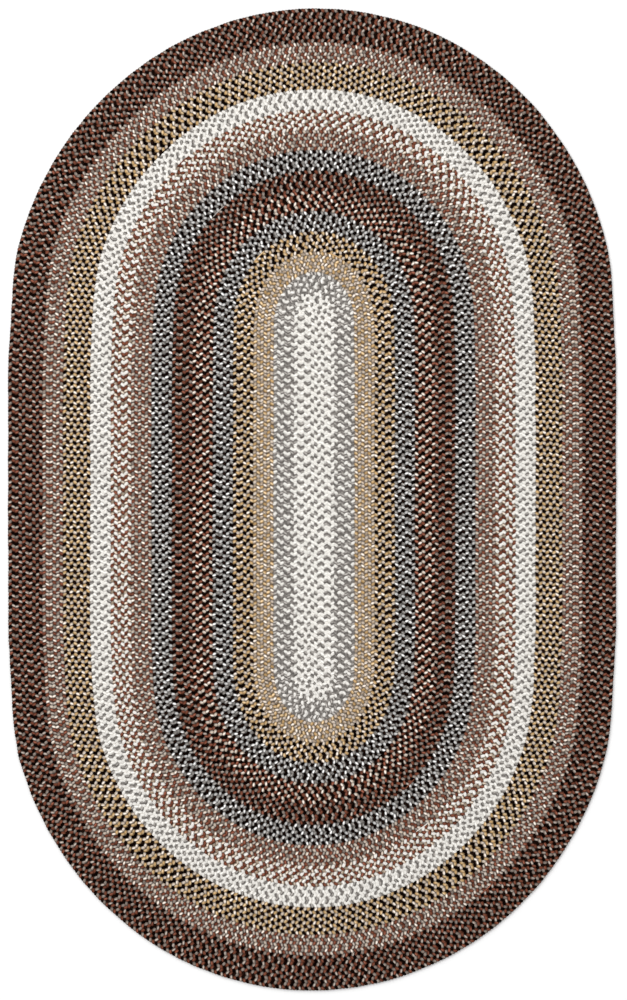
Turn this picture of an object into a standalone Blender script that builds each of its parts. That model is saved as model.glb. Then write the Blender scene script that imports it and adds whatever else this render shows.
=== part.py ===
"""Braided oval rug, lying flat.

One long three-strand braid is laid in rounds about a straight centre line and
laced edge to edge. The rug is one solid: a flat underside, a rounded rim, and a
top whose ribs are the rounds, with a groove between each round and the next.

X runs across the rug, Y along it and Z up. The origin is on the floor, under
the middle of the rug.
"""

import math

import bmesh
import bpy

# Driving dimensions, in metres
LENGTH = 2.44
WIDTH = 1.51
STRAIGHT = 0.862  # length of the straight sides
INNER_REACH = 0.027  # each end of the centre line lies this far beyond the straight sides
BLUNT = 0.1  # of the way out, within which the rounds' ends aren't so pointed
THICKNESS = 0.012
GROOVE = 0.003  # depth of the groove between two rounds

# How far the rounds stray from a true oval
DRIFT = (0.005, 0.006)  # how far the centre line lies off the rug's middle
SHOULDER_PINCH = 0.0065  # each side is narrower here where the ends begin
SHOULDER_REACH = 0.17  # along Y, to each side of the pinch
SHOULDER_AT = 0.475  # from the middle of the rug, along Y
LEAN = 0.012  # the far end leans this much to +X

# Faceting
STRAIGHT_STEPS = 4  # along each straight side
END_STEPS = 24  # round each end
RIM_STEPS = 3  # up the rounded rim, from its widest point to its crest
SHARP_EDGE = math.radians(50)  # an edge that turns more than this isn't shaded smooth
MERGE = 0.0001  # corners closer than this are one

# Colour bands from the middle outwards: rounds, and the mean colour of their yarns
BANDS = (
    {"name": "cream_centre", "rounds": 3, "colour": (0.61, 0.58, 0.53)},
    {"name": "grey", "rounds": 3, "colour": (0.42, 0.39, 0.36)},
    {"name": "light_tan", "rounds": 3, "colour": (0.40, 0.31, 0.22)},
    {"name": "tan_and_black", "rounds": 3, "colour": (0.23, 0.16, 0.11)},
    {"name": "grey_and_black", "rounds": 3, "colour": (0.15, 0.15, 0.14)},
    {"name": "brown_and_black", "rounds": 3, "colour": (0.14, 0.08, 0.065)},
    {"name": "dark_brown", "rounds": 3, "colour": (0.10, 0.053, 0.04)},
    {"name": "outer_grey_and_black", "rounds": 3, "colour": (0.155, 0.15, 0.14)},
    {"name": "brown_and_grey", "rounds": 3, "colour": (0.27, 0.18, 0.15)},
    {"name": "brown_and_cream", "rounds": 3, "colour": (0.38, 0.28, 0.235)},
    {"name": "cream_ring", "rounds": 3, "colour": (0.565, 0.54, 0.50)},
    {"name": "outer_tan_and_black", "rounds": 4, "colour": (0.22, 0.155, 0.11)},
    {"name": "outer_brown_and_grey", "rounds": 3, "colour": (0.25, 0.17, 0.135)},
    {"name": "dark_border", "rounds": 5, "colour": (0.095, 0.053, 0.04)},
)
YARN_ROUGHNESS = 0.95

ROUNDS = sum(band["rounds"] for band in BANDS)
END_REACH = (LENGTH - STRAIGHT) / 2  # how far each end reaches past the straight sides


def clear_scene():
    for obj in list(bpy.data.objects):
        bpy.data.objects.remove(obj)


def yarn_material(name, colour):
    material = bpy.data.materials.new(name)
    material.use_nodes = True
    shader = material.node_tree.nodes["Principled BSDF"]
    shader.inputs["Base Color"].default_value = (*colour, 1.0)
    shader.inputs["Roughness"].default_value = YARN_ROUGHNESS
    shader.inputs["Metallic"].default_value = 0.0
    return material


def oval_stations():
    """Each station round the oval: its share of the half width, of the end's
    reach, and its place along the straight sides."""
    stations = []
    for side in (1, -1):
        for step in range(STRAIGHT_STEPS):
            along = step / STRAIGHT_STEPS - 0.5
            stations.append((side, 0.0, side * along * STRAIGHT))
        for step in range(END_STEPS):
            angle = math.pi * step / END_STEPS
            across = side * math.cos(angle)
            stations.append((across, side * math.sin(angle), side * STRAIGHT / 2))
    return stations


def with_unevenness(x, y):
    """The place on the real rug of a place on the true oval."""
    from_pinch = abs(abs(y) - SHOULDER_AT) / SHOULDER_REACH
    if from_pinch < 1:
        pinch = SHOULDER_PINCH * (1 + math.cos(math.pi * from_pinch)) / 2
        x -= pinch * x / (WIDTH / 2)
    lean = LEAN * max(0.0, y / (LENGTH / 2)) ** 3
    return x + lean, y


def place_ring(ring, stations, share, height):
    """Sets a ring of corners at this share of the way out from the centre line."""
    extra = (1 - share) * INNER_REACH
    blunt = max(0.0, 1 - share / BLUNT) * extra
    reach = share * END_REACH + extra - blunt
    drift = 1 - share ** 2
    for corner, (across, beyond, start) in zip(ring, stations):
        x = share * across * WIDTH / 2 + drift * DRIFT[0]
        y = start * (1 + blunt / (STRAIGHT / 2)) + beyond * reach + drift * DRIFT[1]
        corner.co = (*with_unevenness(x, y), height)


def profile():
    """Rows of (share of the way out, height, round), from the underside's edge
    up the rim and inwards over every rib to the centre line."""
    half_round = 0.5 / ROUNDS
    crest = 1 - half_round
    rows = []
    for step in range(RIM_STEPS):
        angle = math.pi / 2 * step / RIM_STEPS
        out = crest + half_round * math.cos(angle)
        rows.append((out, THICKNESS / 2 * (1 + math.sin(angle)), ROUNDS - 1))
    for index in reversed(range(ROUNDS)):
        rows.append(((index + 0.5) / ROUNDS, THICKNESS, index))
        rows.append((index / ROUNDS, THICKNESS - GROOVE, index))
    return rows


def extrude_ring(bm, edges, tag):
    """Extrudes the open ring of edges. Returns the new corners in station order,
    the new edges and the new faces."""
    made = bmesh.ops.extrude_edge_only(bm, edges=edges)["geom"]
    corners = [item for item in made if isinstance(item, bmesh.types.BMVert)]
    corners.sort(key=lambda corner: corner[tag])
    new_edges = [item for item in made if isinstance(item, bmesh.types.BMEdge)]
    faces = [item for item in made if isinstance(item, bmesh.types.BMFace)]
    return corners, new_edges, faces


def rug_mesh():
    stations = oval_stations()
    bm = bmesh.new()
    tag = bm.verts.layers.int.new("station")
    ring = bmesh.ops.create_circle(bm, segments=len(stations), radius=1, cap_ends=True)
    ring = ring["verts"]
    for index, corner in enumerate(ring):
        corner[tag] = index
    underside_share = 1 - 0.5 / ROUNDS
    place_ring(ring, stations, underside_share, 0.0)

    band_of_round = []
    for index, band in enumerate(BANDS):
        band_of_round += [index] * band["rounds"]
    edges = list(bm.edges)
    for face in bm.faces:
        face.material_index = band_of_round[-1]
    for share, height, round_index in profile():
        corners, edges, faces = extrude_ring(bm, edges, tag)
        place_ring(corners, stations, share, height)
        for face in faces:
            face.material_index = band_of_round[round_index]
            face.smooth = True

    # The last ring lies on the centre line, its two sides on each other.
    bmesh.ops.remove_doubles(bm, verts=bm.verts, dist=MERGE)
    bmesh.ops.recalc_face_normals(bm, faces=bm.faces)
    mesh = bpy.data.meshes.new("rug")
    bm.to_mesh(mesh)
    bm.free()
    mesh.set_sharp_from_angle(angle=SHARP_EDGE)
    return mesh


def main():
    clear_scene()
    mesh = rug_mesh()
    for band in BANDS:
        mesh.materials.append(yarn_material(band["name"], band["colour"]))
    rug = bpy.data.objects.new("rug", mesh)
    bpy.context.scene.collection.objects.link(rug)


main()
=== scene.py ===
import math

import bmesh
import bpy
import numpy as np
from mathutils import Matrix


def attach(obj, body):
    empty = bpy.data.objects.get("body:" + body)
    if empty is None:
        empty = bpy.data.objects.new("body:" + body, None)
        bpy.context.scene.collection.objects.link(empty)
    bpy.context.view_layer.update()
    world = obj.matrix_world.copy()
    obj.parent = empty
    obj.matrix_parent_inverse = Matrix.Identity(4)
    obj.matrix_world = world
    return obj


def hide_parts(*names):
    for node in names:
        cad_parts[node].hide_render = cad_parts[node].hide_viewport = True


# Braided oval rug, lying flat, seen from straight above.
#
# The rug is a three-strand braid laid in 45 rounds. Each round is a closed ring of
# lobes, the humps that the strands make as they come up by turns. One repeat of the
# braid, six lobes in two columns, is modelled, then arrayed and bent along that
# round's oval. The rounds that share their yarns are joined into one band. A few
# yarn ends lie in the grooves between rounds, and under the bands lies the rug's
# underside, one ribbed sheet.
#
# X runs across the rug, Y along it and Z up, in metres, as in the frame.

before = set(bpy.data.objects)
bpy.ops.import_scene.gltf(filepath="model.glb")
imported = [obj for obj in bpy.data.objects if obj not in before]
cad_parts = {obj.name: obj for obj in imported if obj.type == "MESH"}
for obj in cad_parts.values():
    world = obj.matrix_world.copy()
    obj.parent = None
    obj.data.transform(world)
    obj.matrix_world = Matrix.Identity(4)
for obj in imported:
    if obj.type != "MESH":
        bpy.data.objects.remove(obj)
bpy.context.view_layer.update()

MM = 0.001

# The rug's outline, the same as the solid's
LENGTH = 2.44
WIDTH = 1.51
STRAIGHT = 0.862  # length of the straight sides
INNER_REACH = 0.027  # each end of the centre line lies this far beyond the straight sides
BLUNT = 0.1  # of the way out, within which the rounds' ends aren't so pointed
DRIFT = (0.005, 0.006)  # how far the centre line lies off the rug's middle
SHOULDER_PINCH = 0.0065  # how far each side is drawn in where the ends begin
SHOULDER_REACH = 0.17  # along Y, to each side of the pinch
SHOULDER_AT = 0.475  # from the middle of the rug, along Y
LEAN = 0.012  # the far end leans this much to +X
END_REACH = (LENGTH - STRAIGHT) / 2

# Yarns: the colour of their plies, of their paler plies, how many of the plies are
# paler, how much one lobe differs from the next, and how much painted shade darkens a
# lobe round its edge, where the strand goes down into the braid
YARNS = {
    "cream": {"colour": (0.765, 0.74, 0.695), "pale": (0.865, 0.84, 0.795),
              "share": 0.5, "tone": 0.06, "edge": 0.12},
    "light": {"colour": (0.56, 0.55, 0.535), "pale": (1.0, 0.985, 0.965),
              "share": 0.5, "tone": 0.15, "edge": 0.78},
    "slate": {"colour": (0.20, 0.184, 0.171), "pale": (0.46, 0.432, 0.403),
              "share": 0.5, "tone": 0.2, "edge": 0.65},
    "grey": {"colour": (0.18, 0.164, 0.151), "pale": (0.40, 0.373, 0.347),
             "share": 0.5, "tone": 0.2, "edge": 0.3},
    "oatmeal": {"colour": (0.58, 0.48, 0.39), "pale": (0.95, 0.84, 0.74),
                "share": 0.5, "tone": 0.15, "edge": 0.75},
    "beige": {"colour": (0.36, 0.275, 0.20), "pale": (0.76, 0.64, 0.53),
              "share": 0.5, "tone": 0.2, "edge": 0.7},
    "taupe": {"colour": (0.25, 0.20, 0.168), "pale": (0.49, 0.42, 0.365),
              "share": 0.5, "tone": 0.2, "edge": 0.7},
    "tan": {"colour": (0.53, 0.335, 0.15), "pale": (0.75, 0.545, 0.315),
            "share": 0.5, "tone": 0.2, "edge": 0.6},
    "brown": {"colour": (0.157, 0.051, 0.028), "pale": (0.265, 0.092, 0.057),
              "share": 0.5, "tone": 0.3, "edge": 0.58},
    "black": {"colour": (0.0045, 0.0015, 0.0008), "pale": (0.009, 0.0035, 0.002),
              "share": 0.3, "tone": 0.5, "edge": 0.0},
}
ROUGHNESS = 0.95
SPECULAR = 0.02
PLY = 4.2  # mm, from one ply of a strand to the next
TWIST = math.radians(10)  # how far the plies turn from the strand
PLY_HEIGHT = 0.35  # mm
PLY_PAINTED_SHADING = (0.68, 1.08)  # painted shade between two plies and painted light on top of a ply, as shares of the yarn's colour
FIBRE_SIZE = (1.8, 0.4)  # mm, along and across a ply
FIBRE_HEIGHT = 0.12  # mm
FIBRE_SHADES = (0.65, 1.35)  # of the yarn's colour, in the darkest and the palest fibres
FIBRE_SPREAD = 60.0  # how many fibres apart two lobes may lie in the fibres' pattern
LEAST_SHADED = 4.5  # mm from a lobe's round end, where its painted shade is least
EDGE_REACH = (5.5, 3.6)  # mm from there to the lobe's edge, where its painted shade is full, along and across the strand

# Bands from the middle outwards: rounds, length of one repeat of the braid, how far
# each further round starts past the one inside it, by turns, as a share of a repeat,
# and the three yarns in the order in which they come along the braid
BANDS = (
    {"name": "cream_centre", "rounds": 3, "repeat": 28.9 * MM, "shifts": (0.3, -0.4),
     "yarns": ("cream", "cream", "grey")},
    {"name": "grey_band", "rounds": 3, "repeat": 26.0 * MM, "shifts": (-0.4, -0.3),
     "yarns": ("grey", "grey", "cream")},
    {"name": "light_tan_band", "rounds": 3, "repeat": 28.2 * MM, "shifts": (0.2, -0.2),
     "yarns": ("oatmeal", "tan", "beige")},
    {"name": "tan_and_black_band", "rounds": 3, "repeat": 25.9 * MM, "shifts": (0.2, 0.4),
     "yarns": ("oatmeal", "black", "tan")},
    {"name": "grey_and_black_band", "rounds": 3, "repeat": 24.4 * MM, "shifts": (0.2, -0.4),
     "yarns": ("light", "black", "slate")},
    {"name": "brown_and_black_band", "rounds": 3, "repeat": 26.0 * MM, "shifts": (0.3, 0.3),
     "yarns": ("oatmeal", "brown", "black")},
    {"name": "dark_brown_band", "rounds": 3, "repeat": 24.5 * MM, "shifts": (0.3, -0.5),
     "yarns": ("taupe", "black", "brown")},
    {"name": "outer_grey_and_black_band", "rounds": 3, "repeat": 24.4 * MM, "shifts": (0.3, 0.0),
     "yarns": ("light", "black", "slate")},
    {"name": "brown_and_grey_band", "rounds": 3, "repeat": 25.5 * MM, "shifts": (0.2, -0.1),
     "yarns": ("oatmeal", "taupe", "brown")},
    {"name": "brown_and_cream_band", "rounds": 3, "repeat": 27.9 * MM, "shifts": (0.3, -0.2),
     "yarns": ("cream", "beige", "brown")},
    {"name": "cream_ring", "rounds": 3, "repeat": 25.1 * MM, "shifts": (0.3, 0.0),
     "yarns": ("cream", "cream", "grey")},
    {"name": "outer_tan_and_black_band", "rounds": 4, "repeat": 26.8 * MM, "shifts": (0.1, 0.0),
     "yarns": ("oatmeal", "black", "tan")},
    {"name": "outer_brown_and_grey_band", "rounds": 3, "repeat": 25.4 * MM, "shifts": (0.2, -0.5),
     "yarns": ("oatmeal", "taupe", "brown")},
    {"name": "dark_border", "rounds": 5, "repeat": 24.5 * MM, "shifts": (0.1, -0.4),
     "yarns": ("taupe", "black", "brown")},
)
ROUNDS = sum(band["rounds"] for band in BANDS)
HALF = WIDTH / 2 / ROUNDS / 2  # half the width of one round
STRANDS = 3
INNER_FIRST = 2  # the strand that comes first in the inner column, as 0 does in the outer
INNER_START = 0.5  # of a lobe, by which the inner column starts further on
PATH_STEP = 12 * MM  # from one point of a round's path to the next
FEWEST_END_STEPS = 24  # of a round's path, round each end of the rug
TONE_SEED = 7

# One lobe of the braid, as modelled. It starts at the braid's edge and slants
# across to just past the middle, where the next lobe of the other side covers it.
LOBE = 8.4 * MM  # its length along the braid
ACROSS = (0.0, 0.3, 0.7, 1.0)  # its corners: valley, two on the crest, valley
SLANT = LOBE * 0.34  # how far along the braid it runs on its way to the middle
PAST_MIDDLE = LOBE / 5
MIDWAY = HALF * 0.52  # from the braid's middle, where the lobe reaches its full height
CREST_END = PAST_MIDDLE * 0.35  # from the braid's middle, where the crest ends
EDGE_VALLEY = 6.4 * MM  # heights at the braid's edge
EDGE_CREST = 8.8 * MM
VALLEY = 8.4 * MM  # heights from midway on
CREST = 11.6 * MM
BULGE = 0.9 * MM  # its round end reaches this far over the next round
FOOT_IN = 4.0 * MM  # its hidden foot lies this far in from the braid's edge
FOOT_HEIGHT = 3.0 * MM
BELLY_OUT = 0.8 * MM  # on the rug's rim it wraps round and down to the floor
BELLY_HEIGHT = 3.4 * MM
RIM_FOOT_IN = 2.4 * MM
CREASE = math.radians(75)  # only the valleys stay creased
SEAM = 0.1 * MM  # corners closer than this are one

# Where the yarns change, the end of one is laid in the groove between two rounds:
# the number of rounds inside it, where it lies, and its yarn. Going clockwise, 0 to
# 1 runs round the near end of the rug and 1 to 2 round the far end.
YARN_ENDS = (
    (9, 1.6, "tan"),
    (12, 1.27, "tan"),
    (15, 0.28, "black"),
    (21, 0.27, "brown"),
    (21, 1.27, "grey"),
    (27, 0.3, "cream"),
    (30, 1.28, "brown"),
    (33, 1.27, "black"),
    (40, 0.28, "brown"),
)
YARN_END_LENGTH = 44 * MM
YARN_END_RADIUS = 1.5 * MM
YARN_END_HEIGHT = 9.8 * MM  # of its middle
YARN_END_STEPS = 8  # along it
YARN_END_SIDES = 8  # round it

# Unevenness of the handwork: how far a spot may stray, from end to end of its
# range, and the size of the patches that stray together
WANDER = {"X": (3.4 * MM, 52 * MM), "Y": (3.0 * MM, 47 * MM), "Z": (1.2 * MM, 31 * MM)}

# The underside
UNDER_TOP = 5.5 * MM  # height of its flat top, inside the braid
UNDER_LIP = 0.6 * MM  # height at which its outermost rib starts
UNDER_GROOVE = 2.6 * MM  # depth of the grooves between its ribs
UNDER_RIM = 0.32  # of a round, in from the rug's edge
UNDER_SIDE_STEPS = 4  # along half a straight side
UNDER_END_STEPS = 48  # round each end
UNDER_LOBE_HEIGHT = 1.2  # mm
UNDER_LOBE_END = 0.2  # of a round, over which the end of a lobe is rounded
UNDER_MAP = "rounds"

# The bake map: every lobe lies in one of its cells, by strand and tone, along the
# strand and across it
UV_MAP = "OFBake"
CELLS_ALONG = 5
CELLS_ACROSS = 9
CELL_LENGTH = 21 * MM
CELL_WIDTH = 15 * MM
CELL_LEAD = 8 * MM  # room before the lobe's round end, for its side
TONES = CELLS_ALONG * CELLS_ACROSS // STRANDS
STRAND_ANGLE = math.atan2(SLANT, HALF - PAST_MIDDLE)  # from straight across the braid

# The studio
CAMERA_HEIGHT = 6.0
CAMERA_SENSOR = 36  # mm
FRAME_LENGTH = 2.490  # of floor, along Y, that the photograph takes in
RUG_OFF_CENTRE = (-0.0037, 0.0012)  # of the photograph, as x and y on the floor
LIGHT_PLACE = (-1.2, 1.5, 5.0)
LIGHT_TILT = (math.radians(-16), math.radians(-13), 0)  # it faces the rug
LIGHT_SIZE = 3.0
LIGHT_POWER = 170  # W
ROOM_LIGHT = 0.75  # strength of the white light from all round
FLOOR_SIZE = 40
FLOOR_HEIGHT = -0.6 * MM  # just clear of the underside
FLOOR_COLOUR = (0.92, 0.92, 0.92)
FLOOR_ROUGHNESS = 0.9


def deselect_all():
    for obj in bpy.context.selected_objects:
        obj.select_set(False)


def make_active(obj):
    deselect_all()
    obj.select_set(True)
    bpy.context.view_layer.objects.active = obj


def join_all(objects, name):
    make_active(objects[0])
    for obj in objects:
        obj.select_set(True)
    if len(objects) > 1:
        bpy.ops.object.join()
    joined = bpy.context.object
    joined.name = name
    joined.data.name = name
    return joined


def select_only(bm, items):
    """Selects these corners or edges in edit mode, and nothing else."""
    bpy.ops.mesh.select_all(action="DESELECT")
    for item in items:
        item.select_set(True)
    bm.select_flush(True)


def close_seams():
    """In edit mode, makes corners that touch one, and turns all faces outwards."""
    bpy.ops.mesh.select_all(action="SELECT")
    bpy.ops.mesh.remove_doubles(threshold=SEAM)
    bpy.ops.mesh.normals_make_consistent(inside=False)


def finish_piece(obj):
    make_active(obj)
    bpy.ops.object.shade_smooth_by_angle(angle=CREASE)
    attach(obj, "root")


def values_of(items, name, kind, width=1):
    """An array of this property of a mesh's corners, faces or map, width numbers to
    each."""
    found = np.empty(len(items) * width, kind)
    items.foreach_get(name, found)
    return found.reshape(-1, width) if width > 1 else found


# ---------------------------------------------------------------- the oval


def with_unevenness(x, y):
    """The place on the real rug of a place on the true oval."""
    from_pinch = abs(abs(y) - SHOULDER_AT) / SHOULDER_REACH
    if from_pinch < 1:
        pinch = SHOULDER_PINCH * (1 + math.cos(math.pi * from_pinch)) / 2
        x -= pinch * x / (WIDTH / 2)
    lean = LEAN * max(0.0, y / (LENGTH / 2)) ** 3
    return x + lean, y


def oval_stations(side_steps, end_steps):
    """Stations round the oval, clockwise from the middle of the +X side: share of
    the half width, share of the end's reach, place along the centre line, and how
    much wider a round is there than at the sides."""
    half = []
    for step in range(side_steps):
        half.append((1.0, 0.0, -STRAIGHT / 2 * step / side_steps, 1.0))
    for step in range(end_steps):
        angle = math.pi * step / end_steps
        reach = END_REACH - INNER_REACH * math.sin(angle) ** 2
        wider = reach / math.hypot(END_REACH * math.cos(angle), WIDTH / 2 * math.sin(angle))
        half.append((math.cos(angle), -math.sin(angle), -STRAIGHT / 2, wider))
    for step in range(side_steps):
        half.append((-1.0, 0.0, -STRAIGHT / 2 * (1 - step / side_steps), 1.0))
    return half + [(-across, -beyond, -start, wider) for across, beyond, start, wider in half]


def place_on_oval(station, share):
    """The place of a station on the oval at this share of the way out."""
    across, beyond, start, _ = station
    extra = (1 - share) * INNER_REACH
    blunt = max(0.0, 1 - share / BLUNT) * extra
    drift = 1 - share ** 2
    x = share * across * WIDTH / 2 + drift * DRIFT[0]
    y = start * (1 + blunt / (STRAIGHT / 2)) + drift * DRIFT[1]
    return with_unevenness(x, y + beyond * (share * END_REACH + extra - blunt))


def lengths_round(places):
    """The way round the closed path to each place and back to the first."""
    lengths = [0.0]
    for here, there in zip(places, places[1:] + places[:1]):
        lengths.append(lengths[-1] + math.dist(here, there))
    return lengths


def repeats_in(length, band):
    """How many repeats the round takes: an even number, so that both of its sides
    are alike."""
    return 2 * round(length / band["repeat"] / 2)


def round_path(share):
    """A closed path along the middle of the round at this share of the way out, and
    its length."""
    end_steps = max(FEWEST_END_STEPS, round(math.pi * share * WIDTH / 2 / PATH_STEP))
    stations = oval_stations(round(STRAIGHT / 2 / PATH_STEP), end_steps)
    places = [place_on_oval(station, share) for station in stations]
    curve = bpy.data.curves.new("path", "CURVE")
    curve.dimensions = "2D"
    curve.fill_mode = "NONE"
    curve.use_radius = True
    spline = curve.splines.new("POLY")
    spline.points.add(len(places) - 1)
    for point, (x, y), station in zip(spline.points, places, stations):
        point.co = (x, y, 0.0, 1.0)
        point.radius = station[3]
    spline.use_cyclic_u = True
    path = bpy.data.objects.new("path", curve)
    bpy.context.scene.collection.objects.link(path)
    return path, lengths_round(places)[-1]


# ---------------------------------------------------------------- the braid


def cell_spot(along, across):
    """A place in the first cell of the bake map: along the strand from the lobe's
    round end, and across it from the lobe's middle."""
    u = (along + CELL_LEAD) / CELL_LENGTH / CELLS_ALONG
    v = (across / CELL_WIDTH + 0.5) / CELLS_ACROSS
    return u, v


def lobe_spot(place, side, start):
    """The place of a lobe's corner on the bake map, turned the same way in both
    columns. Below the lobe's round end, the way down counts as the way out."""
    ahead = place.x - start - LOBE / 2
    inwards = HALF - side * place.y
    if place.z < EDGE_VALLEY:
        inwards = place.z - EDGE_VALLEY
    slanting = math.sin(STRAND_ANGLE)
    straight = math.cos(STRAND_ANGLE)
    along = ahead * slanting + inwards * straight
    across = side * (ahead * straight - inwards * slanting)
    return cell_spot(along, across)


def place_lobe_rows(rows, side, start):
    """Places the rows of a lobe's grid: at the braid's edge, midway, where the crest
    ends, and drawn together into the tip."""
    at_edge, midway, crest_end, tip = rows
    for corner, along in zip(at_edge, ACROSS):
        on_crest = 0 < along < 1
        height = EDGE_CREST if on_crest else EDGE_VALLEY
        corner.co = (start + along * LOBE, side * (HALF + BULGE * on_crest), height)
    slanted = SLANT * (HALF - MIDWAY) / (HALF - PAST_MIDDLE)
    for corner, along in zip(midway, ACROSS):
        height = CREST if 0 < along < 1 else VALLEY
        corner.co = (start + slanted + along * LOBE, side * MIDWAY, height)
    drawn_in = (PAST_MIDDLE - CREST_END) / (2 * PAST_MIDDLE) * LOBE / 2
    for corner, along in zip(crest_end, ACROSS):
        if 0 < along < 1:
            ahead = drawn_in + along * (LOBE - 2 * drawn_in)
            corner.co = (start + SLANT + ahead, side * CREST_END, CREST)
        else:
            corner.co = (start + SLANT + along * LOBE, side * PAST_MIDDLE, VALLEY)
    for corner in tip:
        corner.co = (start + SLANT + LOBE / 2, -side * PAST_MIDDLE, VALLEY)


def extrude_foot(obj, at_edge, side, start, at_rim):
    """Extrudes a lobe's round end down to its foot, inside the braid or at the rug's
    rim. The foot is one straight edge."""
    levels = [(-FOOT_IN, -FOOT_IN, FOOT_HEIGHT)]
    if at_rim:
        levels = [(0.0, BELLY_OUT, BELLY_HEIGHT), (-RIM_FOOT_IN, -RIM_FOOT_IN, 0.0)]
    select_only(bmesh.from_edit_mesh(obj.data), at_edge)
    for valley_out, crest_out, height in levels:
        bpy.ops.mesh.extrude_edges_indiv()
        bm = bmesh.from_edit_mesh(obj.data)
        lowest = sorted((item for item in bm.verts if item.select), key=lambda item: item.co.x)
        for corner, along in zip(lowest, ACROSS):
            out = HALF + (crest_out if 0 < along < 1 else valley_out)
            corner.co = (start + along * LOBE, side * out, height)
    select_only(bm, lowest[1:-1])
    bpy.ops.mesh.dissolve_verts()


def lobe(side, start, strand, yarns, at_rim):
    """One lobe of the braid's outer column (side 1) or inner column (side -1), made
    from a grid."""
    columns = len(ACROSS)
    deselect_all()
    bpy.ops.mesh.primitive_grid_add(
        x_subdivisions=columns - 1, y_subdivisions=columns - 1, size=LOBE)
    obj = bpy.context.object
    for yarn in yarns:
        obj.data.materials.append(yarn)
    bpy.ops.object.mode_set(mode="EDIT")
    bm = bmesh.from_edit_mesh(obj.data)
    corners = sorted(bm.verts, key=lambda corner: (round(corner.co.y, 4), corner.co.x))
    rows = [corners[first:first + columns] for first in range(0, len(corners), columns)]
    place_lobe_rows(rows, side, start)
    extrude_foot(obj, rows[0], side, start, at_rim)
    close_seams()

    bm = bmesh.from_edit_mesh(obj.data)
    on_map = bm.loops.layers.uv.verify()
    for face in bm.faces:
        face.material_index = strand
        for corner in face.loops:
            corner[on_map].uv = lobe_spot(corner.vert.co, side, start)
    bmesh.update_edit_mesh(obj.data)
    bpy.ops.object.mode_set(mode="OBJECT")
    obj.data.uv_layers[0].name = UV_MAP
    return obj


def braid_repeat(yarns, at_rim):
    """One repeat of the braid along +X: three lobes to a column, each strand coming
    up in both by turns. The feet of the two columns are bridged, which closes the
    braid below. Every face knows the number of its lobe."""
    lobes = []
    for side, first, further in ((1, 0, 0.0), (-1, INNER_FIRST, INNER_START)):
        for index in range(STRANDS):
            start = (index + further) * LOBE
            strand = (first + index) % STRANDS
            made = lobe(side, start, strand, yarns, at_rim and side > 0)
            number = made.data.attributes.new("lobe", "INT", "FACE")
            number.data.foreach_set("value", [len(lobes)] * len(made.data.polygons))
            lobes.append(made)
    repeat = join_all(lobes, "repeat")

    bpy.ops.object.mode_set(mode="EDIT")
    bpy.ops.mesh.select_all(action="SELECT")
    bpy.ops.mesh.remove_doubles(threshold=SEAM)
    bm = bmesh.from_edit_mesh(repeat.data)
    feet = []
    for side in (1, -1):
        column = [corner for corner in bm.verts if corner.co.y * side > PAST_MIDDLE]
        lowest = min(corner.co.z for corner in column)
        foot = [corner for corner in column if corner.co.z < lowest + SEAM]
        feet += [edge for edge in bm.edges if all(corner in foot for corner in edge.verts)]
    select_only(bm, feet)
    bpy.ops.mesh.bridge_edge_loops()
    bm = bmesh.from_edit_mesh(repeat.data)
    on_map = bm.loops.layers.uv[UV_MAP]
    for face in bm.faces:
        if face.select:
            middle = face.calc_center_median()
            for corner in face.loops:
                away = corner.vert.co - middle
                corner[on_map].uv = cell_spot(away.y, away.x)
    bmesh.update_edit_mesh(repeat.data)
    bpy.ops.object.mode_set(mode="OBJECT")
    return repeat


def bend_round(obj, path):
    """Bends the object, which lies along X, along the path."""
    make_active(obj)
    bend = obj.modifiers.new("round", "CURVE")
    bend.object = path
    bend.deform_axis = "POS_X"
    bpy.ops.object.modifier_apply(modifier="round")
    bpy.data.objects.remove(path)


def move_to_cells(mesh, cell):
    """Moves each face from the first cell of the bake map to the one given for it."""
    shift = np.stack([cell % CELLS_ALONG / CELLS_ALONG, cell // CELLS_ALONG / CELLS_ACROSS], 1)
    corners = values_of(mesh.polygons, "loop_total", np.int32)
    layer = mesh.uv_layers[UV_MAP].uv
    spot = values_of(layer, "vector", np.float32, 2) + np.repeat(shift, corners, axis=0)
    layer.foreach_set("vector", spot.astype(np.float32).ravel())


def spread_tones(mesh, faces_per_repeat, rng):
    """Moves each lobe's faces on the bake map to a cell of its strand, picked at
    random from that strand's tones."""
    lobe_in_repeat = values_of(mesh.attributes["lobe"].data, "value", np.int32)
    repeat_number = np.arange(len(mesh.polygons)) // faces_per_repeat
    lobe_number = repeat_number * 2 * STRANDS + lobe_in_repeat
    tone = rng.integers(0, TONES, lobe_number.max() + 1)[lobe_number]
    move_to_cells(mesh, values_of(mesh.polygons, "material_index", np.int32) * TONES + tone)
    mesh.attributes.remove(mesh.attributes["lobe"])


def laid_round(repeat, index, band, start, rng):
    """A copy of the repeat, arrayed and bent along the path of one round. start is
    the share of a repeat by which the first lies past the middle of the +X side."""
    path, length = round_path((index + 0.5) / ROUNDS)
    count = repeats_in(length, band)
    step = length / count
    obj = repeat.copy()
    obj.data = repeat.data.copy()
    bpy.context.scene.collection.objects.link(obj)
    make_active(obj)
    spot = values_of(obj.data.vertices, "co", np.float32, 3)
    spot[:, 0] = (spot[:, 0] / (STRANDS * LOBE) + start) * step
    obj.data.vertices.foreach_set("co", spot.ravel())
    faces_per_repeat = len(obj.data.polygons)

    array = obj.modifiers.new("along", "ARRAY")
    array.count = count
    array.use_relative_offset = False
    array.use_constant_offset = True
    array.constant_offset_displace = (step, 0.0, 0.0)
    array.use_merge_vertices = True
    array.merge_threshold = SEAM
    bpy.ops.object.modifier_apply(modifier="along")
    bend_round(obj, path)
    spread_tones(obj.data, faces_per_repeat, rng)
    return obj


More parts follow.
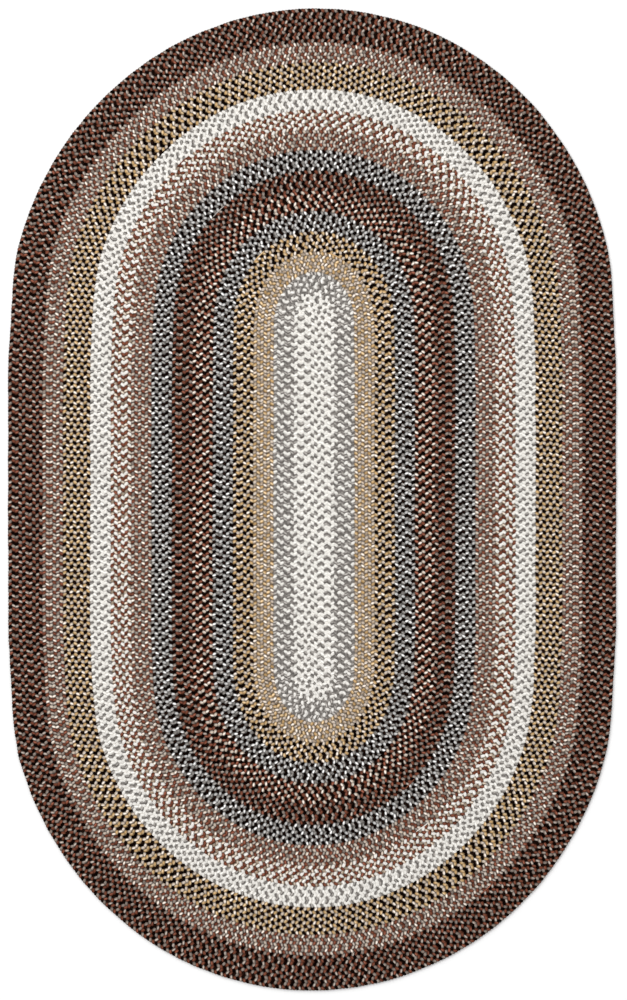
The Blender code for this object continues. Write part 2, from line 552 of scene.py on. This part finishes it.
def add_wander(obj):
    """Gives the object the unevenness of handwork. In height it strays upwards only."""
    for axis, (reach, size) in WANDER.items():
        name = "wander_" + axis
        texture = bpy.data.textures.get(name)
        if texture is None:
            texture = bpy.data.textures.new(name, "CLOUDS")
            texture.noise_scale = size
            texture.noise_depth = 2
        displace = obj.modifiers.new(name, "DISPLACE")
        displace.texture = texture
        displace.texture_coords = "LOCAL"
        displace.direction = axis
        displace.strength = reach
        displace.mid_level = 0.0 if axis == "Z" else 0.5
    make_active(obj)
    for axis in WANDER:
        bpy.ops.object.modifier_apply(modifier="wander_" + axis)


def finished_band(rounds, band):
    """Joins the rounds of a band and closes each into a ring."""
    obj = join_all(rounds, band["name"])
    bpy.ops.object.mode_set(mode="EDIT")
    close_seams()
    bpy.ops.object.mode_set(mode="OBJECT")
    add_wander(obj)
    finish_piece(obj)
    return obj


def add_bands(materials):
    rng = np.random.default_rng(TONE_SEED)
    bands = []
    index = 0
    start = 0.0
    for band in BANDS:
        yarns = [materials[yarn] for yarn in band["yarns"]]
        repeat = braid_repeat(yarns, False)
        rounds = []
        for number in range(band["rounds"]):
            if index == ROUNDS - 1:
                bpy.data.objects.remove(repeat)
                repeat = braid_repeat(yarns, True)
            rounds.append(laid_round(repeat, index, band, start, rng))
            start += band["shifts"][number % 2]
            index += 1
        bpy.data.objects.remove(repeat)
        bands.append(finished_band(rounds, band))
    return bands


def yarn_end(groove, turn, yarn, cell):
    """The end of a yarn, laid in the groove outside this number of rounds: a grid
    rolled into a tube, its first and last rows drawn together."""
    size = YARN_END_LENGTH
    deselect_all()
    bpy.ops.mesh.primitive_grid_add(
        x_subdivisions=YARN_END_STEPS, y_subdivisions=YARN_END_SIDES, size=size)
    obj = bpy.context.object
    obj.data.materials.append(yarn)
    path, length = round_path(groove / ROUNDS)
    end_length = length / 2 - STRAIGHT
    way = (0.5 + math.floor(turn)) * STRAIGHT + turn * end_length

    bpy.ops.object.mode_set(mode="EDIT")
    bm = bmesh.from_edit_mesh(obj.data)
    on_map = bm.loops.layers.uv.verify()
    for face in bm.faces:
        for corner in face.loops:
            place = corner.vert.co / size * LOBE
            corner[on_map].uv = cell_spot(place.x + LEAST_SHADED * MM, place.y)
    for corner in bm.verts:
        along = 2 * corner.co.x / size
        angle = math.tau * corner.co.y / size
        radius = YARN_END_RADIUS * math.sqrt(max(0.0, 1 - along ** 4))
        height = YARN_END_HEIGHT + radius * math.cos(angle)
        corner.co = (way + corner.co.x, radius * math.sin(angle), height)
    bmesh.update_edit_mesh(obj.data)
    close_seams()
    bpy.ops.object.mode_set(mode="OBJECT")
    obj.data.uv_layers[0].name = UV_MAP
    bend_round(obj, path)
    move_to_cells(obj.data, np.full(len(obj.data.polygons), cell))
    return obj


def add_yarn_ends(materials):
    ends = [yarn_end(groove, turn, materials[yarn], cell)
            for cell, (groove, turn, yarn) in enumerate(YARN_ENDS)]
    obj = join_all(ends, "yarn_ends")
    add_wander(obj)
    finish_piece(obj)
    return obj


# ---------------------------------------------------------------- the underside


def underside_profile():
    """Rows of (share of the way out, height), from the edge of the underside's flat
    top down its rim and inwards over every rib to the centre line."""
    rim = 1 - UNDER_RIM / ROUNDS
    rows = [(rim, UNDER_TOP), (rim, UNDER_LIP)]
    for index in reversed(range(ROUNDS)):
        rows.append(((index + 0.5) / ROUNDS, 0.0))
        rows.append((index / ROUNDS, UNDER_GROOVE))
    return rows


def extrude_underside(obj, stations, rows):
    """Lays the edge of the object's one face on the first row, and extrudes from it a
    ring of corners for each further row. Every corner knows its station and ring."""
    bm = bmesh.from_edit_mesh(obj.data)
    station_tag = bm.verts.layers.int.new("station")
    ring_tag = bm.verts.layers.int.new("ring")
    share, height = rows[0]
    for index, corner in enumerate(bm.verts):
        corner[station_tag] = index
        corner.co = (*place_on_oval(stations[index], share), height)
    bpy.context.tool_settings.mesh_select_mode = (False, True, False)
    for face in bm.faces:
        face.select_set(False)
    for edge in bm.edges:
        edge.select_set(True)
    for ring, (share, height) in enumerate(rows[1:], 1):
        bpy.ops.mesh.extrude_edges_indiv()
        bm = bmesh.from_edit_mesh(obj.data)
        for corner in bm.verts:
            if corner.select:
                corner[ring_tag] = ring
                corner.co = (*place_on_oval(stations[corner[station_tag]], share), height)
    bpy.context.tool_settings.mesh_select_mode = (True, False, False)


def repeats_round(index, band, stations):
    """How many repeats of the braid lie before each station of a round."""
    places = [place_on_oval(station, (index + 0.5) / ROUNDS) for station in stations]
    lengths = lengths_round(places)
    total = repeats_in(lengths[-1], band)
    return [length / lengths[-1] * total for length in lengths]


def map_underside(obj, stations, rows, yarn_sets):
    """Gives each face its band's yarns, and its place as repeats of the braid round
    the rug and rounds from the centre line."""
    band_of_round = [band for band in BANDS for _ in range(band["rounds"])]
    ways = [repeats_round(index, band, stations) for index, band in enumerate(band_of_round)]
    bm = bmesh.from_edit_mesh(obj.data)
    station_tag = bm.verts.layers.int["station"]
    ring_tag = bm.verts.layers.int["ring"]
    on_map = bm.loops.layers.uv.verify()
    for face in bm.faces:
        outer = min(corner[ring_tag] for corner in face.verts)
        index = ROUNDS - 1 - max(0, outer - 1) // 2
        face.material_index = yarn_sets.index(band_of_round[index]["yarns"])
        numbers = [corner.vert[station_tag] for corner in face.loops]
        closing = max(numbers) - min(numbers) > 1
        for corner, number in zip(face.loops, numbers):
            if closing and number == 0:
                number = len(stations)
            corner[on_map].uv = (ways[index][number], rows[corner.vert[ring_tag]][0] * ROUNDS)
    bmesh.update_edit_mesh(obj.data)


def add_underside(groups):
    """The rug's underside, one closed sheet: a flat top that the bands cover, and a
    rib below for every round."""
    stations = oval_stations(UNDER_SIDE_STEPS, UNDER_END_STEPS)
    rows = underside_profile()
    deselect_all()
    bpy.ops.mesh.primitive_circle_add(
        vertices=len(stations), radius=WIDTH / 2, fill_type="NGON")
    obj = bpy.context.object
    obj.name = "underside"
    obj.data.name = "underside"
    yarn_sets = list(dict.fromkeys(band["yarns"] for band in BANDS))
    for yarns in yarn_sets:
        obj.data.materials.append(underside_material(yarns, groups))
    bpy.ops.object.mode_set(mode="EDIT")
    extrude_underside(obj, stations, rows)
    map_underside(obj, stations, rows, yarn_sets)
    close_seams()
    bpy.ops.object.mode_set(mode="OBJECT")
    obj.data.uv_layers[0].name = UNDER_MAP
    finish_piece(obj)
    return obj


# ---------------------------------------------------------------- materials


class Nodes:
    """Adds nodes to one node tree. A node's inputs are values or other nodes'
    outputs."""

    def __init__(self, tree):
        self.tree = tree

    def feed(self, socket, source):
        if isinstance(source, bpy.types.NodeSocket):
            self.tree.links.new(source, socket)
        else:
            socket.default_value = source

    def add(self, kind, sources=(), **settings):
        node = self.tree.nodes.new(kind)
        for name, value in settings.items():
            setattr(node, name, value)
        sources = sources.items() if isinstance(sources, dict) else enumerate(sources)
        for name, source in sources:
            self.feed(node.inputs[name], source)
        return node

    def maths(self, operation, *sources):
        return self.add("ShaderNodeMath", sources, operation=operation).outputs[0]

    def vector(self, operation, *sources):
        return self.add("ShaderNodeVectorMath", sources, operation=operation).outputs[0]

    def scaled(self, vector, factor):
        node = self.add("ShaderNodeVectorMath", {0: vector, "Scale": factor}, operation="SCALE")
        return node.outputs[0]

    def squared_length(self, vector):
        node = self.add("ShaderNodeVectorMath", (vector, vector), operation="DOT_PRODUCT")
        return node.outputs["Value"]

    def joined(self, x, y, z):
        return self.add("ShaderNodeCombineXYZ", (x, y, z)).outputs[0]

    def parts(self, vector):
        return self.add("ShaderNodeSeparateXYZ", (vector,)).outputs

    def between(self, ends, share):
        """From the first end to the second, as share goes from 0 to 1."""
        return self.maths("MULTIPLY_ADD", share, ends[1] - ends[0], ends[0])

    def mixed(self, share, first, second):
        """The second colour where share is 1. Inputs 6 and 7 of a Mix node are its
        colours, and output 2 is the mixed one."""
        node = self.add("ShaderNodeMix", {0: share, 6: first, 7: second}, data_type="RGBA")
        return node.outputs[2]

    def on_map(self, name):
        return self.add("ShaderNodeUVMap", uv_map=name).outputs[0]

    def group(self, tree, sources):
        return self.add("ShaderNodeGroup", sources, node_tree=tree).outputs


def new_group(name, inputs, outputs):
    """A node group with these sockets, and its nodes for its inputs and outputs."""
    tree = bpy.data.node_groups.new(name, "ShaderNodeTree")
    for sockets, way in ((inputs, "INPUT"), (outputs, "OUTPUT")):
        for socket, kind in sockets.items():
            tree.interface.new_socket(socket, in_out=way, socket_type="NodeSocket" + kind)
    nodes = Nodes(tree)
    given = nodes.add("NodeGroupInput").outputs
    result = nodes.add("NodeGroupOutput").inputs
    return nodes, given, result


def rounded(nodes, share):
    """From 0 up to 1 and back to 0 on a half circle, as share goes from 0 to 1."""
    rest = nodes.maths("SUBTRACT", 1.0, share)
    product = nodes.maths("MULTIPLY", share, rest)
    return nodes.maths("SQRT", nodes.maths("MULTIPLY", product, 4.0))


def yarn_group():
    """Thick yarn: twisted plies with fibres along them, some of the plies paler, painted
    shade in the gaps between them and painted light on their tops, each lobe a little
    lighter or darker than the next and given painted shade towards its edge. Spot is the
    place along and across the strand, in millimetres. Chance is three random numbers of
    the lobe. Height is in metres."""
    inputs = {"Spot": "Vector", "Chance": "Vector", "Colour": "Color", "Pale Colour": "Color",
              "Pale Share": "Float", "Tone": "Float", "Painted Edge Shade": "Float"}
    nodes, given, result = new_group("yarn", inputs, {"Colour": "Color", "Height": "Float"})
    chance = nodes.parts(given["Chance"])
    turned = nodes.add("ShaderNodeVectorRotate", {"Vector": given["Spot"], "Angle": TWIST},
                       rotation_type="Z_AXIS").outputs[0]
    place = nodes.parts(turned)
    ply = nodes.maths("MULTIPLY_ADD", place[1], 1 / PLY, chance[1])
    number = nodes.maths("FLOOR", ply)
    ridge = rounded(nodes, nodes.maths("FRACT", ply))
    turn = nodes.maths("MULTIPLY_ADD", number, given["Pale Share"], chance[2])
    pale = nodes.maths("LESS_THAN", nodes.maths("FRACT", turn), given["Pale Share"])

    stretched = nodes.vector("MULTIPLY", turned, (1 / FIBRE_SIZE[0], 1 / FIBRE_SIZE[1], 1.0))
    own = nodes.vector("ADD", stretched, nodes.scaled(given["Chance"], FIBRE_SPREAD))
    noise = nodes.add("ShaderNodeTexNoise", {"Vector": own, "Scale": 1.0, "Detail": 2.0})
    fibre = noise.outputs[0]

    tone = nodes.maths("MULTIPLY_ADD", nodes.between((-1.0, 1.0), chance[0]), given["Tone"], 1.0)
    # painted shade: each lobe is darker towards its edge, where shade falls as the strand goes
    # down into the braid
    from_least_shaded = nodes.vector("SUBTRACT", given["Spot"], (LEAST_SHADED, 0.0, 0.0))
    way_to_edge = nodes.vector("DIVIDE", from_least_shaded, (*EDGE_REACH, 1.0))
    near_edge = nodes.maths("MINIMUM", nodes.squared_length(way_to_edge), 1.0)
    painted_edge_shade = nodes.maths("MULTIPLY", near_edge, given["Painted Edge Shade"])
    # the lobe's random tone and its fibres, with painted shade between the plies, painted light
    # on their tops and painted shade towards the lobe's edge
    tone_and_painted_shade = nodes.maths("MULTIPLY", tone, nodes.between(PLY_PAINTED_SHADING, ridge))
    tone_and_painted_shade = nodes.maths("MULTIPLY", tone_and_painted_shade, nodes.between(FIBRE_SHADES, fibre))
    tone_and_painted_shade = nodes.maths("MULTIPLY", tone_and_painted_shade, nodes.maths("SUBTRACT", 1.0, painted_edge_shade))
    colour = nodes.mixed(pale, given["Colour"], given["Pale Colour"])
    nodes.feed(result["Colour"], nodes.scaled(colour, tone_and_painted_shade))
    fibres = nodes.maths("MULTIPLY", fibre, FIBRE_HEIGHT * MM)
    nodes.feed(result["Height"], nodes.maths("MULTIPLY_ADD", ridge, PLY_HEIGHT * MM, fibres))
    return nodes.tree


def lobe_group():
    """Where a spot of the braid lies on its lobe, from the bake map."""
    nodes, _, result = new_group("lobe", {}, {"Spot": "Vector", "Chance": "Vector"})
    cells = nodes.vector("MULTIPLY", nodes.on_map(UV_MAP), (CELLS_ALONG, CELLS_ACROSS, 0.0))
    cell = nodes.vector("FLOOR", cells)
    inside = nodes.vector("SUBTRACT", cells, cell)
    from_corner = nodes.vector("MULTIPLY", inside, (CELL_LENGTH / MM, CELL_WIDTH / MM, 0.0))
    lobe_start = (CELL_LEAD / MM, CELL_WIDTH / MM / 2, 0.0)
    nodes.feed(result["Spot"], nodes.vector("SUBTRACT", from_corner, lobe_start))
    noise = nodes.add("ShaderNodeTexWhiteNoise", {"Vector": cell}, noise_dimensions="2D")
    nodes.feed(result["Chance"], noise.outputs["Color"])
    return nodes.tree


def flat_braid_group():
    """The braid as it shows below, drawn on the ribs of the underside: which strand
    is where, its lobe's spot, random numbers and height."""
    outputs = {"Spot": "Vector", "Chance": "Vector", "Second Strand": "Float",
               "Third Strand": "Float", "Height": "Float"}
    nodes, _, result = new_group("flat_braid", {}, outputs)
    place = nodes.parts(nodes.on_map(UNDER_MAP))
    from_middle = nodes.maths("SUBTRACT", nodes.maths("FRACT", place[1]), 0.5)
    inner = nodes.maths("LESS_THAN", from_middle, 0.0)
    from_edge = nodes.maths("SUBTRACT", 0.5, nodes.maths("ABSOLUTE", from_middle))
    further = nodes.maths("MULTIPLY", inner, INNER_START)
    back = nodes.maths("MULTIPLY_ADD", from_edge, 2 * SLANT / LOBE, further)
    along = nodes.maths("SUBTRACT", nodes.maths("MULTIPLY", place[0], STRANDS), back)
    number = nodes.maths("FLOOR", along)
    share = nodes.maths("FRACT", along)
    turn = nodes.maths("MULTIPLY_ADD", inner, INNER_FIRST, number)
    strand = nodes.maths("FLOORED_MODULO", turn, STRANDS)
    for socket, index in (("Second Strand", 1), ("Third Strand", 2)):
        nodes.feed(result[socket], nodes.maths("COMPARE", strand, index, 0.5))
    across = nodes.maths("MULTIPLY_ADD", share, LOBE / MM, -LOBE / MM / 2)
    inwards = nodes.maths("MULTIPLY", from_edge, 2 * HALF / MM)
    nodes.feed(result["Spot"], nodes.joined(inwards, across, 0.0))
    which = nodes.joined(number, nodes.maths("FLOOR", place[1]), inner)
    noise = nodes.add("ShaderNodeTexWhiteNoise", {"Vector": which}, noise_dimensions="3D")
    nodes.feed(result["Chance"], noise.outputs["Color"])
    from_end = nodes.maths("MULTIPLY", from_edge, 1 / UNDER_LOBE_END)
    end_height = nodes.maths("SQRT", nodes.maths("MINIMUM", from_end, 1.0))
    height = nodes.maths("MULTIPLY", rounded(nodes, share), end_height)
    nodes.feed(result["Height"], nodes.maths("MULTIPLY", height, UNDER_LOBE_HEIGHT * MM))
    return nodes.tree


def feed_shader(material, nodes, colour, height):
    """Feeds the material's shader from these outputs, height through a bump."""
    bump = nodes.add("ShaderNodeBump", {"Strength": 1.0, "Distance": 1.0, "Height": height})
    shader = material.node_tree.nodes["Principled BSDF"]
    nodes.feed(shader.inputs["Base Color"], colour)
    nodes.feed(shader.inputs["Normal"], bump.outputs[0])
    shader.inputs["Roughness"].default_value = ROUGHNESS
    shader.inputs["Specular IOR Level"].default_value = SPECULAR


def yarn_inputs(yarn, spot, chance):
    return {"Spot": spot, "Chance": chance, "Colour": (*yarn["colour"], 1.0),
            "Pale Colour": (*yarn["pale"], 1.0), "Pale Share": yarn["share"],
            "Tone": yarn["tone"], "Painted Edge Shade": yarn["edge"]}


def yarn_material(name, groups):
    material = bpy.data.materials.new(name + "_yarn")
    material.use_nodes = True
    nodes = Nodes(material.node_tree)
    place = nodes.group(groups["lobe"], {})
    look = nodes.group(groups["yarn"], yarn_inputs(YARNS[name], place["Spot"], place["Chance"]))
    feed_shader(material, nodes, look["Colour"], look["Height"])
    return material


def underside_material(yarns, groups):
    """The three yarns on the flat braid. All yarns have the same plies, so the first
    one's height serves."""
    material = bpy.data.materials.new("underside_" + "_".join(yarns))
    material.use_nodes = True
    nodes = Nodes(material.node_tree)
    place = nodes.group(groups["flat_braid"], {})
    looks = [nodes.group(groups["yarn"], yarn_inputs(YARNS[yarn], place["Spot"], place["Chance"]))
             for yarn in yarns]
    colour = nodes.mixed(place["Second Strand"], looks[0]["Colour"], looks[1]["Colour"])
    colour = nodes.mixed(place["Third Strand"], colour, looks[2]["Colour"])
    height = nodes.maths("ADD", looks[0]["Height"], place["Height"])
    feed_shader(material, nodes, colour, height)
    return material


# ---------------------------------------------------------------- the studio


def add_floor():
    bpy.ops.mesh.primitive_plane_add(size=FLOOR_SIZE, location=(0, 0, FLOOR_HEIGHT))
    floor = bpy.context.object
    floor.name = "floor"
    material = bpy.data.materials.new("floor")
    material.use_nodes = True
    shader = material.node_tree.nodes["Principled BSDF"]
    shader.inputs["Base Color"].default_value = (*FLOOR_COLOUR, 1.0)
    shader.inputs["Roughness"].default_value = FLOOR_ROUGHNESS
    floor.data.materials.append(material)


def add_light():
    scene = bpy.context.scene
    scene.view_settings.view_transform = "Standard"
    world = bpy.data.worlds.new("studio")
    world.use_nodes = True
    background = world.node_tree.nodes["Background"]
    background.inputs["Color"].default_value = (1, 1, 1, 1)
    background.inputs["Strength"].default_value = ROOM_LIGHT
    scene.world = world
    bpy.ops.object.light_add(type="AREA", location=LIGHT_PLACE)
    light = bpy.context.object
    light.rotation_euler = LIGHT_TILT
    light.data.size = LIGHT_SIZE
    light.data.energy = LIGHT_POWER


def add_camera():
    """A camera above the rug, which lies as far off the middle as in the photograph."""
    x, y = RUG_OFF_CENTRE
    bpy.ops.object.camera_add(location=(-x, -y, CAMERA_HEIGHT))
    camera = bpy.context.object
    camera.data.sensor_fit = "VERTICAL"
    camera.data.sensor_height = CAMERA_SENSOR
    camera.data.lens = CAMERA_SENSOR * CAMERA_HEIGHT / FRAME_LENGTH
    bpy.context.scene.camera = camera


deselect_all()
add_camera()
add_light()
add_floor()
groups = {"yarn": yarn_group(), "lobe": lobe_group(), "flat_braid": flat_braid_group()}
materials = {name: yarn_material(name, groups) for name in YARNS}
braid = add_bands(materials) + [add_yarn_ends(materials)]
underside = add_underside(groups)
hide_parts("rug")
